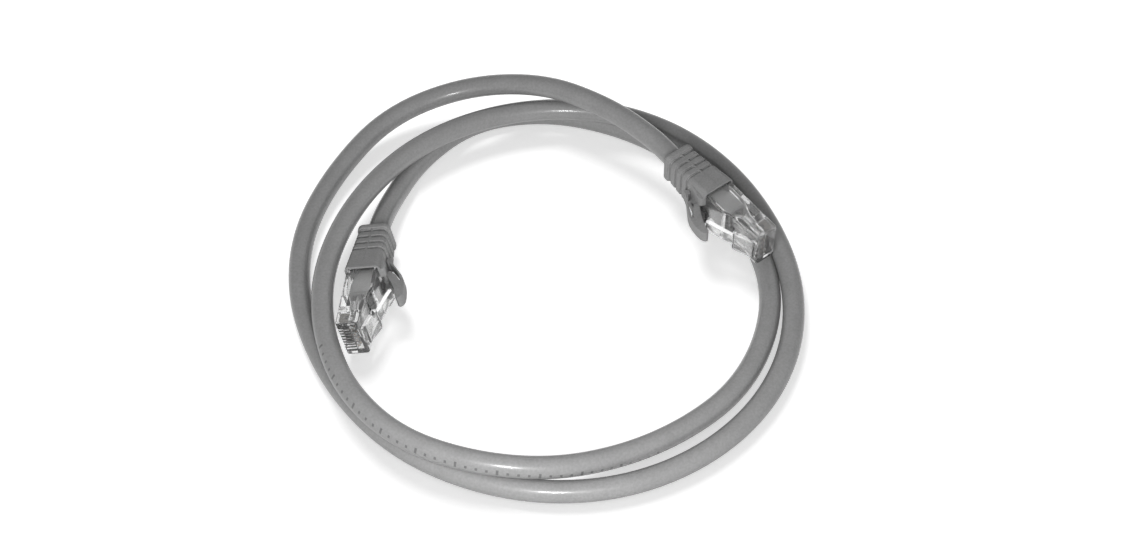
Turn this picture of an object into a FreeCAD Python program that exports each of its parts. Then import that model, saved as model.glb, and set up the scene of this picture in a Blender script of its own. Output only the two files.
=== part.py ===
import FreeCAD, Part
import Sketcher

import math
import os

# Ethernet patch cable, one metre class, lying as a loose coil on a table.
# Lengths are in millimetres. +Z is up and z = 0 is the table.
# Each plug has a frame of its own: X points the way it is pushed in, Y points to
# the latch side, the nose is at x = 0 and the cable's middle is at y = z = 0.

Vector = FreeCAD.Vector

SIZES = {
    # The cord's sheath, filler and eight insulated conductors
    "cord_width": 5.8,
    "bore_width": 4.4,
    "filler_width": 1.9,
    "insulation_width": 0.92,
    "conductor_width": 0.6,
    "ring_radius": 1.62,
    "pair_angle": 38.0,
    # The underside is flat where the cord lies on the table, and turns are this far apart
    "flat_depth": 0.5,
    "turn_gap": 0.55,
    # The loop's corners: angle of the first and step to the next, in degrees
    "corner_start": 73.0,
    "corner_step": 18.0,
    # The middle of the loop, seen from the origin
    "loop_x": -3.45,
    "loop_y": -8.9,
    # Plug housing
    "plug_width": 11.68,
    "plug_length": 21.5,
    "contact_side": 4.1,
    "nose_top": 2.15,
    "rear_top": 4.1,
    "slope_start": 9.6,
    "slope_end": 12.6,
    "nose_chamfer": 0.45,
    "cavity_start": 13.4,
    "cavity_half_height": 3.15,
    "cavity_width": 9.6,
    "fan_start": 8.7,
    "fan_half_height": 1.95,
    "bar_seat_start": 5.3,
    "bar_seat_half_height": 1.3,
    "bar_seat_width": 9.3,
    "wire_slot_start": 1.4,
    "wire_slot_half_height": 0.9,
    "wire_slot_width": 8.4,
    "contact_pitch": 1.02,
    "contact_slot_width": 0.5,
    "contact_slot_length": 5.0,
    "clamp_window_front": 14.6,
    "clamp_window_rear": 18.8,
    "clamp_window_width": 5.4,
    "relief_front": 7.1,
    "relief_rear": 11.0,
    "relief_depth": 1.6,
    "relief_width": 7.0,
    # Contacts, load bar and clamp
    "contact_thickness": 0.35,
    "contact_front": 1.55,
    "contact_rear": 4.6,
    "contact_recess": 0.5,
    "contact_shank": 1.2,
    "row_offset": 0.35,
    "bite": 0.1,
    "bar_length": 3.1,
    "bar_clearance": 0.1,
    "wire_hole_clearance": 0.05,
    "clamp_clearance": 0.2,
    "clamp_bite": 0.15,
    # Latch
    "latch_pivot_x": 1.5,
    "latch_pivot_y": 2.75,
    "latch_root_radius": 0.5,
    "root_clearance": 0.1,
    "latch_base_width": 6.2,
    "lever_width": 3.25,
    "lever_end": 15.2,
    "lever_end_top": 7.75,
    "lever_thickness": 1.2,
    "shoulder_front": 5.6,
    "shoulder_rear": 6.8,
    "shoulder_top": 5.15,
    "root_block_front": 0.3,
    "root_block_height": 0.6,
    # Boot
    "boot_front": 19.2,
    "boot_neck": 35.4,
    "boot_front_half_height": 4.9,
    "boot_front_half_width": 6.6,
    "boot_neck_half_height": 4.15,
    "boot_neck_half_width": 4.55,
    "boot_corner": 1.5,
    "collar_rear": 37.2,
    "collar_half_height": 4.45,
    "collar_half_width": 4.85,
    "collar_corner": 1.7,
    "boot_clearance": 0.1,
    "groove_first": 34.5,
    "groove_pitch": 2.5,
    "groove_width": 0.8,
    "groove_depth": 0.8,
    "seam_half_width": 0.5,
    "notch_width": 5.4,
    "notch_rear": 21.4,
    # Guard over the latch's free end
    "guard_width": 3.6,
    "guard_pivot_x": 25.7,
    "guard_pivot_y": 5.3,
    "guard_root_radius": 0.8,
    # How far the cord reaches into each plug
    "cord_end": 13.8,
    "wire_end": 1.6,
    "straight_lead": 38.0,
    "first_rise": 9.5,
    "last_rise": 3.5,
}

# Each plug: nose position from the loop's middle, heading, climb and roll in degrees,
# and which side of its heading the latch is on
PLUGS = {
    "a": {"nose": (57.4, 6.9, 11.6), "heading": -53.0, "climb": -3.0, "roll": 2.5, "latch": -1},
    "b": {"nose": (-48.4, -21.1, 8.45), "heading": -95.0, "climb": 3.5, "roll": 12.0, "latch": 1},
}

# The height of the cord's middle on the table, on one turn below and on two turns
low = SIZES["cord_width"] / 2 - SIZES["flat_depth"]
high = low + SIZES["cord_width"] + SIZES["turn_gap"]
top = high + SIZES["cord_width"] + SIZES["turn_gap"]

# The loose turns, read along the cord: its line goes round a corner at equal steps round
# the loop, given as its distance from the loop's middle and its height
CORNERS = [
    (57.5, top + 0.3),
    (64.9, top - 0.1),
    (73.0, high + 1.3),
    (75.0, high - 1.7),
    (71.7, low + 1.1),
    (69.0, low + 0.4),
    (65.7, low + 0.1),
    (62.8, low),
    (62.1, low),
    (62.7, low),
    (63.5, low),
    (64.9, low),
    (66.2, low),
    (66.9, low),
    (67.2, low),
    (66.8, low),
    (65.8, low + 0.6),
    (64.6, low + 1.2),
    (63.6, high - 1.7),
    (63.1, high),
    (62.9, high),
    (61.7, high),
    (60.4, high),
    (59.1, high + 0.15),
    (57.9, high + 0.05),
    (57.7, high),
    (58.8, high),
    (60.3, high),
    (62.5, high),
    (63.6, high),
    (62.3, high),
    (59.6, high - 1.7),
    (58.1, low + 1.5),
    (57.9, low + 0.6),
    (59.2, low),
    (59.7, low),
    (59.6, low),
    (57.1, low),
    (57.8, low),
    (61.9, low),
    (63.9, low),
    (66.1, low),
    (65.7, low),
    (59.3, low),
    (52.2, low + 1.3),
]


class Size:
    """A number together with the sheet expression that gives it."""

    def __init__(self, number, text):
        self.number = number
        self.text = text

    def join(self, other, sign, number):
        text = other.text if isinstance(other, Size) else repr(other)
        return Size(number, "(" + self.text + " " + sign + " " + text + ")")

    def __add__(self, other):
        return self.join(other, "+", self.number + plain(other))

    def __sub__(self, other):
        return self.join(other, "-", self.number - plain(other))

    def __mul__(self, other):
        return self.join(other, "*", self.number * plain(other))

    def __truediv__(self, other):
        return self.join(other, "/", self.number / plain(other))

    def __neg__(self):
        return Size(-self.number, "(0 - " + self.text + ")")


def plain(value):
    return value.number if isinstance(value, Size) else float(value)


doc = FreeCAD.newDocument("patch_cable")
sheet = doc.addObject("Spreadsheet::Sheet", "Sizes")
size = {}
for row, (name, value) in enumerate(SIZES.items(), start=1):
    sheet.set("A" + str(row), name)
    sheet.set("B" + str(row), str(value))
    sheet.setAlias("B" + str(row), name)
    size[name] = Size(value, "Sizes." + name)
doc.recompute()

removals = []
nodes = []


# Helpers for the plug pieces

def body(label, placement):
    made = doc.addObject("PartDesign::Body", label)
    made.Label = label
    made.Placement = placement
    nodes.append(made)
    return made


def plane(owner, role):
    for feature in owner.Origin.OriginFeatures:
        if feature.Role == role:
            return feature
    raise ValueError("no plane " + role)


def sketch(owner, role, outlines=(), circles=(), offset=None):
    made = owner.newObject("Sketcher::SketchObject", owner.Name + "_sketch")
    made.AttachmentSupport = [(plane(owner, role), "")]
    made.MapMode = "FlatFace"
    if offset is not None:
        made.AttachmentOffset = FreeCAD.Placement(Vector(0, 0, plain(offset)), FreeCAD.Rotation())
        made.setExpression("AttachmentOffset.Base.z", offset.text)
    for outline in outlines:
        first = made.GeometryCount
        count = len(outline)
        for index, (x, y) in enumerate(outline):
            next_x, next_y = outline[(index + 1) % count]
            start = Vector(plain(x), plain(y), 0)
            end = Vector(plain(next_x), plain(next_y), 0)
            made.addGeometry(Part.LineSegment(start, end), False)
        for index in range(count):
            after = first + (index + 1) % count
            made.addConstraint(Sketcher.Constraint("Coincident", first + index, 2, after, 1))
        for index, (x, y) in enumerate(outline):
            fix_point(made, first + index, 1, x, y)
    for x, y, radius in circles:
        number = made.addGeometry(
            Part.Circle(Vector(plain(x), plain(y), 0), Vector(0, 0, 1), plain(radius)), False)
        fix_point(made, number, 3, x, y)
        bind(made, Sketcher.Constraint("Radius", number, plain(radius)), radius)
    return made


def fix_point(made, number, which, x, y):
    bind(made, Sketcher.Constraint("DistanceX", -1, 1, number, which, plain(x)), x)
    bind(made, Sketcher.Constraint("DistanceY", -1, 1, number, which, plain(y)), y)


def bind(made, constraint, value):
    index = made.addConstraint(constraint)
    if isinstance(value, Size):
        made.setExpression("Constraints[" + str(index) + "]", value.text)


def pad(owner, drawn, length, symmetric=True):
    made = owner.newObject("PartDesign::Pad", owner.Name + "_pad")
    made.Profile = drawn
    made.SideType = "Symmetric" if symmetric else "One side"
    made.Length = plain(length)
    made.setExpression("Length", length.text)
    owner.Tip = made
    return made


def pocket(owner, drawn, length, symmetric=True, forward=False):
    base = owner.Tip
    made = owner.newObject("PartDesign::Pocket", owner.Name + "_pocket")
    made.Profile = drawn
    made.SideType = "Symmetric" if symmetric else "One side"
    made.Length = plain(length)
    made.setExpression("Length", length.text)
    made.Reversed = forward
    owner.Tip = made
    removals.append((base, made))
    return made


def block(front, rear, low, high):
    return [(-front, low), (-front, high), (-rear, high), (-rear, low)]


def box_at(middle, half_first, half_second):
    y, z = middle
    return [
        (y - half_first, z - half_second),
        (y + half_first, z - half_second),
        (y + half_first, z + half_second),
        (y - half_first, z + half_second),
    ]


# The plugs' frames

def plug_axes(end):
    plug = PLUGS[end]
    heading = math.radians(plug["heading"])
    climb = math.radians(plug["climb"])
    forward = Vector(
        math.cos(heading) * math.cos(climb),
        math.sin(heading) * math.cos(climb),
        math.sin(climb),
    )
    latch = Vector(-math.sin(heading), math.cos(heading), 0) * plug["latch"]
    roll = FreeCAD.Rotation(forward, plug["roll"])
    latch = roll.multVec(latch)
    return forward, latch, forward.cross(latch)


def plug_placement(end):
    nose = PLUGS[end]["nose"]
    forward, latch, across = plug_axes(end)
    middle = Vector(SIZES["loop_x"], SIZES["loop_y"], 0)
    turn = FreeCAD.Rotation(forward, latch, across, "XYZ")
    return FreeCAD.Placement(Vector(*nose) + middle, turn)


def in_plug(end, x, y=0.0, z=0.0):
    return plug_placement(end).multVec(Vector(x, y, z))


def pin_z(pin):
    return size["contact_pitch"] * (pin - 3.5)


def row_y(end, pin):
    # The load bar at the second end is turned end for end, so its rows change places
    side = 1 if pin % 2 == 0 else -1
    return size["row_offset"] * (side if end == "a" else -side)


# Pieces of a plug

def make_housing(end):
    s = size
    part = body("plug_" + end + "_housing", plug_placement(end))
    chamfer = s["nose_chamfer"]
    low = -s["contact_side"]
    profile = [
        (Size(0, "0") - 0, low + chamfer),
        (Size(0, "0") - 0, s["nose_top"] - chamfer),
        (-chamfer, s["nose_top"]),
        (-s["slope_start"], s["nose_top"]),
        (-s["slope_end"], s["rear_top"]),
        (-s["plug_length"], s["rear_top"]),
        (-s["plug_length"], low),
        (-chamfer, low),
    ]
    pad(part, sketch(part, "XY_Plane", [profile]), s["plug_width"])
    root_top = s["nose_top"] + s["root_block_height"]
    root = block(s["root_block_front"], s["latch_pivot_x"], s["nose_top"] - 0.3, root_top)
    pad(part, sketch(part, "XY_Plane", [root]), s["latch_base_width"])
    groove = (-s["latch_pivot_x"], s["latch_pivot_y"], s["latch_root_radius"] + s["root_clearance"])
    pocket(part, sketch(part, "XY_Plane", [], [groove]), s["latch_base_width"] + 1.0)
    hollows = [
        (s["cavity_start"], s["plug_length"] + 0.5, s["cavity_half_height"], s["cavity_width"]),
        (s["fan_start"], s["cavity_start"] + 0.1, s["fan_half_height"], s["bar_seat_width"]),
        (s["bar_seat_start"], s["fan_start"] + 0.1, s["bar_seat_half_height"], s["bar_seat_width"]),
        (s["wire_slot_start"], s["bar_seat_start"] + 0.1, s["wire_slot_half_height"],
         s["wire_slot_width"]),
    ]
    for front, rear, half_height, width in hollows:
        outline = block(front, rear, -half_height, half_height)
        pocket(part, sketch(part, "XY_Plane", [outline]), width)
    outside = -s["contact_side"] - 0.3
    window = block(s["clamp_window_front"], s["clamp_window_rear"], outside, -s["cavity_half_height"] + 0.1)
    pocket(part, sketch(part, "XY_Plane", [window]), s["clamp_window_width"])
    relief_floor = -s["contact_side"] + s["relief_depth"]
    relief = block(s["relief_front"], s["relief_rear"], outside, relief_floor)
    pocket(part, sketch(part, "XY_Plane", [relief]), s["relief_width"])
    slots = []
    slot_top = -s["wire_slot_half_height"] + 0.1
    slot_middle = (slot_top + outside) / 2
    slot_half = (slot_top - outside) / 2
    for pin in range(8):
        slots.append(box_at((slot_middle, pin_z(pin)), slot_half, s["contact_slot_width"] / 2))
    drawn = sketch(part, "YZ_Plane", slots, offset=s["root_clearance"] * 1)
    pocket(part, drawn, s["contact_slot_length"] + s["root_clearance"], symmetric=False)


def make_latch(end):
    s = size
    part = body("plug_" + end + "_latch", plug_placement(end))
    x = -s["latch_pivot_x"]
    y = s["latch_pivot_y"]
    radius = s["latch_root_radius"]
    pad(part, sketch(part, "XY_Plane", [], [(x, y, radius)]), s["latch_base_width"])
    lever = [
        (x, y + radius),
        (-s["lever_end"] + 0.6, s["lever_end_top"]),
        (-s["lever_end"], s["lever_end_top"] - 0.45),
        (-s["lever_end"] + 0.3, s["lever_end_top"] - s["lever_thickness"]),
        (x, y - radius),
    ]
    pad(part, sketch(part, "XY_Plane", [lever]), s["lever_width"])
    base = [
        (x, y + radius),
        (-s["shoulder_front"], s["shoulder_top"]),
        (-s["shoulder_rear"], s["shoulder_top"]),
        (-s["shoulder_rear"], s["shoulder_top"] - s["lever_thickness"]),
        (x, y - radius),
    ]
    pad(part, sketch(part, "XY_Plane", [base]), s["latch_base_width"])


def make_contact(end, pin):
    s = size
    part = body("plug_" + end + "_contact_" + str(pin + 1), plug_placement(end))
    outer = -s["contact_side"] + s["contact_recess"]
    shank = outer + s["contact_shank"]
    tip = row_y(end, pin) - s["conductor_width"] / 2 + s["bite"]
    front = s["contact_front"]
    rear = s["contact_rear"]
    blade = [
        (-front, outer + 0.4),
        (-front - 0.4, outer),
        (-rear + 0.4, outer),
        (-rear, outer + 0.4),
        (-rear, shank),
        (-rear + 0.5, tip),
        (-rear + 1.0, shank + 0.3),
        (-front - 1.0, shank + 0.3),
        (-front - 0.5, tip),
        (-front, shank),
    ]
    drawn = sketch(part, "XY_Plane", [blade], offset=pin_z(pin))
    pad(part, drawn, s["contact_thickness"])


def make_load_bar(end):
    s = size
    part = body("plug_" + end + "_load_bar", plug_placement(end))
    front = s["bar_seat_start"] + s["bar_clearance"]
    half = s["bar_seat_half_height"] - s["bar_clearance"]
    outline = block(front, front + s["bar_length"], -half, half)
    pad(part, sketch(part, "XY_Plane", [outline]), s["bar_seat_width"] - s["bar_clearance"] * 2)
    radius = s["insulation_width"] / 2 + s["wire_hole_clearance"]
    holes = [(row_y(end, pin), pin_z(pin), radius) for pin in range(8)]
    drawn = sketch(part, "YZ_Plane", [], holes, offset=-front + 0.5)
    pocket(part, drawn, s["bar_length"] + 1.0, symmetric=False)


def make_clamp(end):
    s = size
    part = body("plug_" + end + "_cord_clamp", plug_placement(end))
    gap = s["clamp_clearance"]
    outer = -s["contact_side"] + 0.15
    inner = -s["cord_width"] / 2 + s["clamp_bite"]
    front = s["clamp_window_front"] + gap
    rear = s["clamp_window_rear"] - gap
    wedge = [
        (-front, inner + 0.0),
        (-front, outer + 0.5),
        (-front - 0.5, outer),
        (-rear, outer),
        (-rear, inner - 0.4),
        (-rear + 1.0, inner + 0.0),
    ]
    pad(part, sketch(part, "XY_Plane", [wedge]), s["clamp_window_width"] - gap * 2)


def groove_half(x, near, far):
    # The boot narrows evenly from its front to its neck
    s = size
    share = (x - s["boot_front"]) / (s["boot_neck"] - s["boot_front"])
    return near + (far - near) * share - s["groove_depth"]


def make_boot(end):
    s = size
    part = body("plug_" + end + "_boot", plug_placement(end))
    high_front = s["boot_front_half_height"]
    high_neck = s["boot_neck_half_height"]
    wide_front = s["boot_front_half_width"]
    wide_neck = s["boot_neck_half_width"]
    side = [
        (-s["boot_front"], high_front),
        (-s["boot_neck"], high_neck),
        (-s["boot_neck"], -high_neck),
        (-s["boot_front"], -high_front),
    ]
    pad(part, sketch(part, "XY_Plane", [side]), wide_front * 2)
    beyond = wide_front + 1.0
    cheeks = []
    for sign in (1, -1):
        cheeks.append([
            (-s["boot_front"], wide_front * sign),
            (-s["boot_neck"], wide_neck * sign),
            (-s["boot_neck"] - 1.0, wide_neck * sign),
            (-s["boot_neck"] - 1.0, beyond * sign),
            (-s["boot_front"], beyond * sign),
        ])
    pocket(part, sketch(part, "XZ_Plane", cheeks), high_front * 2 + 2.0)
    doc.recompute()
    tapered = part.Tip
    long_edges = []
    for number, edge in enumerate(tapered.Shape.Edges, start=1):
        first = edge.Vertexes[0].Point
        last = edge.Vertexes[-1].Point
        if abs(first.x - last.x) > 5 and abs(first.z) > 3 and abs(first.y) > 3:
            long_edges.append("Edge" + str(number))
    rounded = part.newObject("PartDesign::Fillet", part.Name + "_fillet")
    rounded.Base = (tapered, long_edges)
    rounded.Radius = plain(s["boot_corner"])
    rounded.setExpression("Radius", s["boot_corner"].text)
    part.Tip = rounded
    # The collar at the rear
    high = s["collar_half_height"]
    wide = s["collar_half_width"]
    cut = s["collar_corner"]
    collar = [
        (high - cut, wide), (high - cut * 0.3, wide - cut * 0.3), (high, wide - cut),
        (high, -wide + cut), (high - cut * 0.3, -wide + cut * 0.3), (high - cut, -wide),
        (-high + cut, -wide), (-high + cut * 0.3, -wide + cut * 0.3), (-high, -wide + cut),
        (-high, wide - cut), (-high + cut * 0.3, wide - cut * 0.3), (-high + cut, wide),
    ]
    drawn = sketch(part, "YZ_Plane", [collar], offset=-s["collar_rear"])
    pad(part, drawn, s["collar_rear"] - s["boot_neck"] + 0.2, symmetric=False)
    # Four flexing grooves, each broken by the mould seam on both wide faces
    for index in range(4):
        x = s["groove_first"] - s["groove_pitch"] * index
        inner_y = groove_half(x, high_front, high_neck)
        inner_z = groove_half(x, wide_front, wide_neck)
        seam = s["seam_half_width"]
        halves = []
        for sign in (1, -1):
            halves.append([
                (seam * sign, beyond),
                (beyond * sign, beyond),
                (beyond * sign, -beyond),
                (seam * sign, -beyond),
                (seam * sign, -inner_z),
                (inner_y * sign, -inner_z),
                (inner_y * sign, inner_z),
                (seam * sign, inner_z),
            ])
        drawn = sketch(part, "YZ_Plane", halves, offset=-x + s["groove_width"] / 2)
        pocket(part, drawn, s["groove_width"], symmetric=False)
    # Bore for the cord, socket for the housing, notch under the latch
    bore = [(Size(0, "0") - 0, Size(0, "0") - 0, s["cord_width"] / 2 + s["boot_clearance"])]
    drawn = sketch(part, "YZ_Plane", [], bore, offset=-s["boot_front"] + 1.0)
    pocket(part, drawn, s["collar_rear"] - s["boot_front"] + 2.0, symmetric=False)
    socket = block(s["boot_front"] - 0.5, s["plug_length"] + 0.6,
                   -s["contact_side"] - s["boot_clearance"], s["rear_top"] + s["boot_clearance"])
    pocket(part, sketch(part, "XY_Plane", [socket]), s["plug_width"] + s["boot_clearance"] * 2)
    notch = block(s["boot_front"] - 0.5, s["notch_rear"], s["rear_top"] - 0.3, high_front + 1.0)
    pocket(part, sketch(part, "XY_Plane", [notch]), s["notch_width"])
    seat = (-s["guard_pivot_x"], s["guard_pivot_y"], s["guard_root_radius"] + s["root_clearance"])
    pocket(part, sketch(part, "XY_Plane", [], [seat]), s["guard_width"] + 0.4)


def make_guard(end):
    s = size
    part = body("plug_" + end + "_latch_guard", plug_placement(end))
    x = -s["guard_pivot_x"]
    y = s["guard_pivot_y"]
    radius = s["guard_root_radius"]
    pad(part, sketch(part, "XY_Plane", [], [(x, y, radius)]), s["guard_width"])
    # The outer leg runs from the root to the tip, and the inner leg back from the tip,
    # with a slit between them
    profile = [
        (x, y + radius),
        (x + 1.9, y + 1.6),
        (x + 8.0, y + 6.4),
        (x + 13.3, y + 6.6),
        (x + 14.2, y + 5.9),
        (x + 13.7, y + 4.3),
        (x + 10.9, y + 2.9),
        (x + 7.1, y + 1.35),
        (x + 5.1, y + 0.5),
        (x + 4.1, y + 0.5),
        (x + 4.9, y + 1.7),
        (x + 8.8, y + 4.2),
        (x + 8.4, y + 4.8),
        (x + 2.5, y + 0.6),
        (x + 0.5, y - 0.35),
        (x, y),
    ]
    pad(part, sketch(part, "XY_Plane", [profile]), s["guard_width"])


for end in ("a", "b"):
    make_housing(end)
    make_latch(end)
    for pin in range(8):
        make_contact(end, pin)
    make_load_bar(end)
    make_clamp(end)
    make_boot(end)
    make_guard(end)


# The cord's middle line: a chain of points with directions, each pair joined by one arc

def unit(vector):
    return vector * (1.0 / vector.Length)


def biarc_joint(start, start_way, end, end_way):
    span = end - start
    both = start_way + end_way
    spread = 2 * (1 - start_way.dot(end_way))
    if spread < 1e-9:
        reach = span.dot(span) / (2 * span.dot(both))
    else:
        along = span.dot(both)
        reach = (math.sqrt(along * along + spread * span.dot(span)) - along) / spread
    near = start + start_way * reach
    far = end - end_way * reach
    return (near + far) * 0.5, unit(far - near)


def arc_shape(start, way, end):
    """Gives an arc's radius, middle point, turning axis and turn, or none if it is straight."""
    span = end - start
    axis = way.cross(span)
    if axis.Length < 1e-7 * span.Length:
        return None
    axis = unit(axis)
    inward = axis.cross(way)
    radius = span.dot(span) / (2 * span.dot(inward))
    turn = 2 * math.atan2(span.dot(inward), span.dot(way))
    centre = start + inward * radius
    middle = centre - inward * radius * math.cos(turn / 2) + way * radius * math.sin(turn / 2)
    return radius, middle, axis, turn


def arc_edge(start, way, end):
    shape = arc_shape(start, way, end)
    if shape is None or shape[0] > 5000:
        return Part.LineSegment(start, end).toShape()
    return Part.Arc(start, shape[1], end).toShape()


def route_corners():
    middle = Vector(SIZES["loop_x"], SIZES["loop_y"], 0)
    corners = [in_plug("a", -SIZES["straight_lead"] - SIZES["first_rise"])]
    for number, (radius, height) in enumerate(CORNERS):
        turn = math.radians(SIZES["corner_start"] + SIZES["corner_step"] * number)
        corners.append(middle + Vector(radius * math.cos(turn), radius * math.sin(turn), height))
    corners.append(in_plug("b", -SIZES["straight_lead"] - SIZES["last_rise"]))
    return corners


def chain():
    """Gives the line's arcs: it touches each run between two corners at the run's middle."""
    way_a = -plug_axes("a")[0]
    way_b = plug_axes("b")[0]
    corners = route_corners()
    touches = [(in_plug("a", -SIZES["straight_lead"]), way_a)]
    for here, after in zip(corners, corners[1:]):
        touches.append(((here + after) * 0.5, unit(after - here)))
    touches.append((in_plug("b", -SIZES["straight_lead"]), way_b))
    steps = [(in_plug("a", -SIZES["cord_end"]), way_a), touches[0]]
    for (start, start_way), (end, end_way) in zip(touches, touches[1:]):
        steps.append(biarc_joint(start, start_way, end, end_way))
        steps.append((end, end_way))
    steps.append((in_plug("b", -SIZES["cord_end"]), way_b))
    return steps


def wire_of(steps):
    edges = []
    for (start, way), (end, end_way) in zip(steps, steps[1:]):
        edges.append(arc_edge(start, way, end))
    return Part.Wire(edges)


def tube_along(steps, radius):
    spine = wire_of(steps)
    start, way = steps[0]
    ring = Part.Wire(Part.Circle(start, way, radius).toShape())
    shell = Part.BRepOffsetAPI.MakePipeShell(spine)
    shell.add(ring, False, False)
    shell.build()
    shell.makeSolid()
    made = shell.shape()
    if made.Volume < 0:
        made = made.reversed()
    return made, spine.Length


def feature(label, shape):
    made = doc.addObject("Part::Feature", label)
    made.Label = label
    made.Shape = shape
    made.Placement = FreeCAD.Placement()
    nodes.append(made)
    return made


def report_tube(label, shape, length, section):
    share = shape.Volume / (section * length)
    print(label, "length", round(length, 1), "volume over section times length", round(share, 4))


steps = chain()
radii = []
for (start, way), (end, end_way) in zip(steps, steps[1:]):
    bend = arc_shape(start, way, end)
    if bend is not None and bend[0] < 5000:
        radii.append(bend[0])
print("cord bend radii", [round(radius, 1) for radius in radii])
print("tightest bend", round(min(radii), 1), "in cord widths", round(min(radii) / SIZES["cord_width"], 1))


def samples(steps, spacing):
    points = []
    run = 0.0
    for (start, way), (end, end_way) in zip(steps, steps[1:]):
        bend = arc_shape(start, way, end)
        length = (end - start).Length if bend is None else abs(bend[0] * bend[3])
        count = max(1, int(math.ceil(length / spacing)))
        for index in range(count):
            share = index / count
            if bend is None:
                point = start + (end - start) * share
            else:
                inward = bend[2].cross(way)
                centre = start + inward * bend[0]
                turn = bend[3] * share
                point = centre - inward * bend[0] * math.cos(turn) + way * bend[0] * math.sin(turn)
            points.append((run + length * share, point))
        run += length
    points.append((run, steps[-1][0]))
    return points


def least_gap(steps):
    points = samples(steps, 2.0)
    least = []
    for index, (run, point) in enumerate(points):
        others = [(point - other).Length for far, other in points[index:] if far > run + 30]
        if others:
            least.append((min(others), run, point))
    least.sort(key=lambda entry: entry[0])
    return least


gaps = least_gap(steps)
print("least gap of the cord to itself", round(gaps[0][0] - SIZES["cord_width"], 3))
for distance, run, point in gaps[:12]:
    local = point - Vector(SIZES["loop_x"], SIZES["loop_y"], 0)
    angle = math.degrees(math.atan2(local.y, local.x)) % 360
    print("   at", round(run), "mm along, angle", round(angle), "height", round(point.z, 1),
          "gap", round(distance - SIZES["cord_width"], 3))

outer, cord_length = tube_along(steps, SIZES["cord_width"] / 2)
inner, inner_length = tube_along(steps, SIZES["bore_width"] / 2)
print("cord length", round(cord_length, 1))
report_tube("sheath outside", outer, cord_length, math.pi * SIZES["cord_width"] ** 2 / 4)
report_tube("sheath bore", inner, cord_length, math.pi * SIZES["bore_width"] ** 2 / 4)
sheath = outer.cut(inner)
# The underside is flat where the turns lie on the table
table = Part.makeBox(400, 400, 20, Vector(-200, -200, -20))
sheath = sheath.cut(table)
feature("cord_sheath", sheath)

filler_steps = list(steps)
filler, filler_length = tube_along(filler_steps, SIZES["filler_width"] / 2)
report_tube("filler", filler, filler_length, math.pi * SIZES["filler_width"] ** 2 / 4)
feature("cord_filler", filler)


# The eight wires keep their places round the filler, then spread to the load bar's rows

def ring_place(pin):
    """Gives a wire's place round the filler in the first plug's Y and Z."""
    half = math.radians(45 - SIZES["pair_angle"] / 2)
    column = pin // 2
    up = SIZES["ring_radius"] * (math.sin(half) if column in (0, 3) else math.cos(half))
    across = SIZES["ring_radius"] * (math.cos(half) if column in (0, 3) else math.sin(half))
    if pin % 2 == 1:
        up = -up
    if column < 2:
        across = -across
    return up, across


def carried(direction, steps):
    """Carries a direction across the cord's section from one end to the other, untwisted."""
    found = [direction]
    for (start, way), (end, end_way) in zip(steps, steps[1:]):
        bend = arc_shape(start, way, end)
        if bend is not None:
            direction = FreeCAD.Rotation(bend[2], math.degrees(bend[3])).multVec(direction)
        found.append(direction)
    return found


forward_a, latch_a, across_a = plug_axes("a")
forward_b, latch_b, across_b = plug_axes("b")
carried_latch = carried(latch_a, steps)
arrived = carried_latch[-1]
wanted = -latch_b
way_b = steps[-1][1]
lag = math.degrees(math.atan2(arrived.cross(wanted).dot(way_b), arrived.dot(wanted)))
print("the wires turn by", round(lag, 1), "degrees, half of it in each boot")
stages = max(1, int(math.ceil(abs(lag) / 2 / 30)))


def place_round(centre, way, latch, place, angle):
    up, across = place
    turned = FreeCAD.Rotation(way, angle).multVec(latch)
    side = turned.cross(way)
    return centre + turned * up + side * across


def add_joint(found, end_point, way):
    start, start_way = found[-1]
    found.append(biarc_joint(start, start_way, end_point, way))
    found.append((end_point, way))


def wire_steps(pin):
    place = ring_place(pin)
    way = steps[0][1]
    fan = SIZES["bar_seat_start"] + SIZES["bar_clearance"] + SIZES["bar_length"]
    row = plain(row_y("a", pin))
    column = plain(pin_z(pin))
    found = [(in_plug("a", -SIZES["wire_end"], row, column), way)]
    found.append((in_plug("a", -fan - 0.2, row, column), way))
    # First the spread behind the load bar, then the turn inside the boot
    begin = SIZES["cord_end"]
    add_joint(found, place_round(in_plug("a", -begin), way, latch_a, place, 0), way)
    reach = (SIZES["straight_lead"] - begin - 4) / stages
    for stage in range(stages):
        centre = in_plug("a", -begin - reach * (stage + 1))
        add_joint(found, place_round(centre, way, latch_a, place, lag / 2 * (stage + 1) / stages), way)
    for (centre, way), latch in list(zip(steps, carried_latch))[1:-1]:
        found.append((place_round(centre, way, latch, place, lag / 2), way))
    latch = carried_latch[-1]
    way = steps[-1][1]
    for stage in range(stages):
        centre = in_plug("b", -begin - reach * (stages - stage - 1))
        angle = lag / 2 * (1 + (stage + 1) / stages)
        if stage == 0:
            start = in_plug("b", -begin - reach * stages)
            found.append((place_round(start, way, latch, place, lag / 2), way))
        add_joint(found, place_round(centre, way, latch, place, angle), way)
    row = plain(row_y("b", pin))
    add_joint(found, in_plug("b", -fan - 0.2, row, column), way)
    found.append((in_plug("b", -SIZES["wire_end"], row, column), way))
    return found


for pin in range(8):
    wire = wire_steps(pin)
    outside, length = tube_along(wire, SIZES["insulation_width"] / 2)
    metal, length = tube_along(wire, SIZES["conductor_width"] / 2)
    report_tube("insulation " + str(pin + 1), outside, length,
                math.pi * SIZES["insulation_width"] ** 2 / 4)
    feature("wire_" + str(pin + 1) + "_insulation", outside.cut(metal))
    feature("wire_" + str(pin + 1) + "_conductor", metal)

doc.recompute()

for item in doc.Objects:
    for flag in ("Invalid", "Error"):
        if flag in item.State:
            raise RuntimeError(item.Label + " is " + flag)
for base, cut in removals:
    if not cut.Shape.Volume < base.Shape.Volume - 1e-4:
        raise RuntimeError(cut.Label + " removed nothing")

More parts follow.
